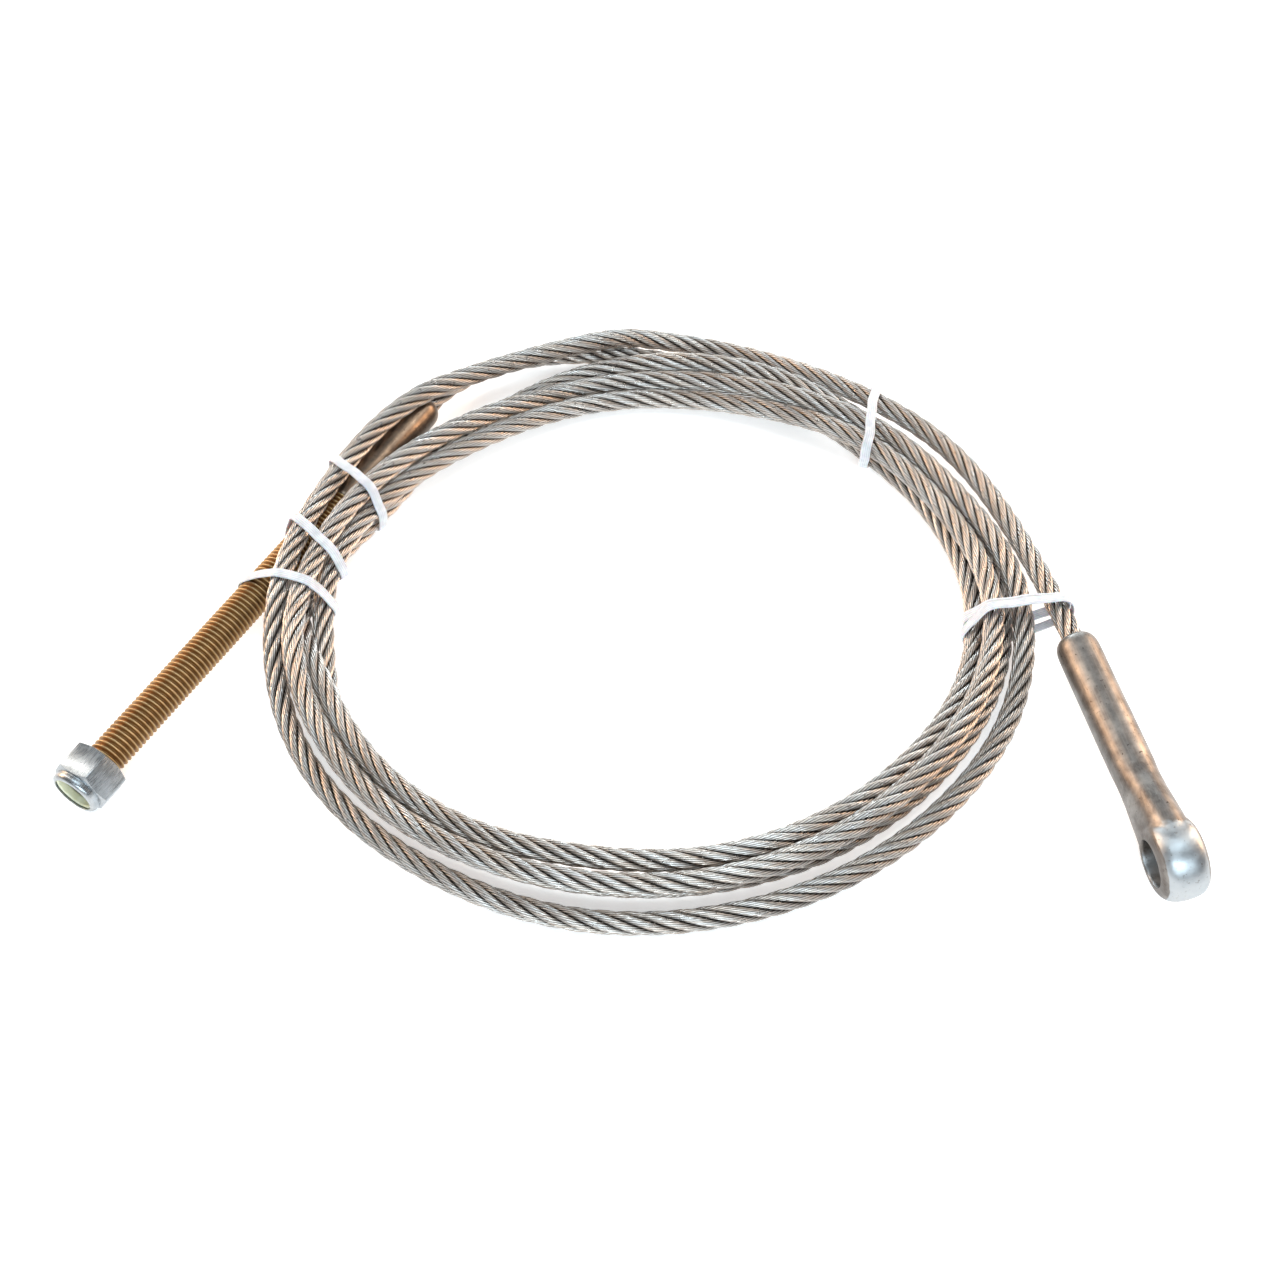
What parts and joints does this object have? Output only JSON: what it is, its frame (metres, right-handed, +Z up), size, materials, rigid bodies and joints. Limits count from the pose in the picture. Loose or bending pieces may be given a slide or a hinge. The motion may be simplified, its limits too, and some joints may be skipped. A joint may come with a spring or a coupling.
{
  "type": "wire rope lift cable",
  "caption": "Galvanised wire rope lift cable in a tied coil, with a swaged threaded stud and nylon-ring lock nut at one end and a swaged eye at the other.",
  "frame": {"origin": "on the ground plane, under the middle of the metal fittings and plastic bands", "axes": "+Z up from the ground the coil lies on, +X to the side of the eye fitting, along the longest extent, +Y to the back of the coil"},
  "size_m": [0.4626, 0.3343, 0.035],
  "materials": {
    "rope_steel": "satin",
    "swaged_steel": "satin",
    "yellow_zinc": "satin",
    "bright_zinc": "satin",
    "nylon": "satin",
    "band_plastic": "satin"
  },
  "bodies": {
    "cable": {"eye_fitting": "swaged_steel", "swage_stud": "yellow_zinc", "rope_turn_1": "rope_steel", "rope_turn_2": "rope_steel", "rope_turn_3": "rope_steel", "rope_turn_4": "rope_steel", "rope_turn_5": "rope_steel", "band_1": "band_plastic", "band_2": "band_plastic", "band_3": "band_plastic", "band_4": "band_plastic", "band_5a": "band_plastic", "band_5b": "band_plastic"},
    "nut_ring": {"nut_insert": "nylon"},
    "nut": {"nut_body": "bright_zinc"}
  },
  "joints": [
    {"name": "nut_travel", "type": "slide", "parent": "cable", "child": "nut_ring", "axis": [0.5008, 0.8656, 0], "range_m": [-0.012, 0.095]},
    {"name": "nut_turn", "type": "hinge", "parent": "nut_ring", "child": "nut", "pos_m": [-0.21298, -0.07512, 0.01191], "axis": [0.5008, 0.8656, 0], "range_deg": [-1872, 14813]}
  ],
  "couplings": [
    {"joint": "nut_turn", "follows": "nut_travel", "rad_per_m": 2721.1}
  ]
}
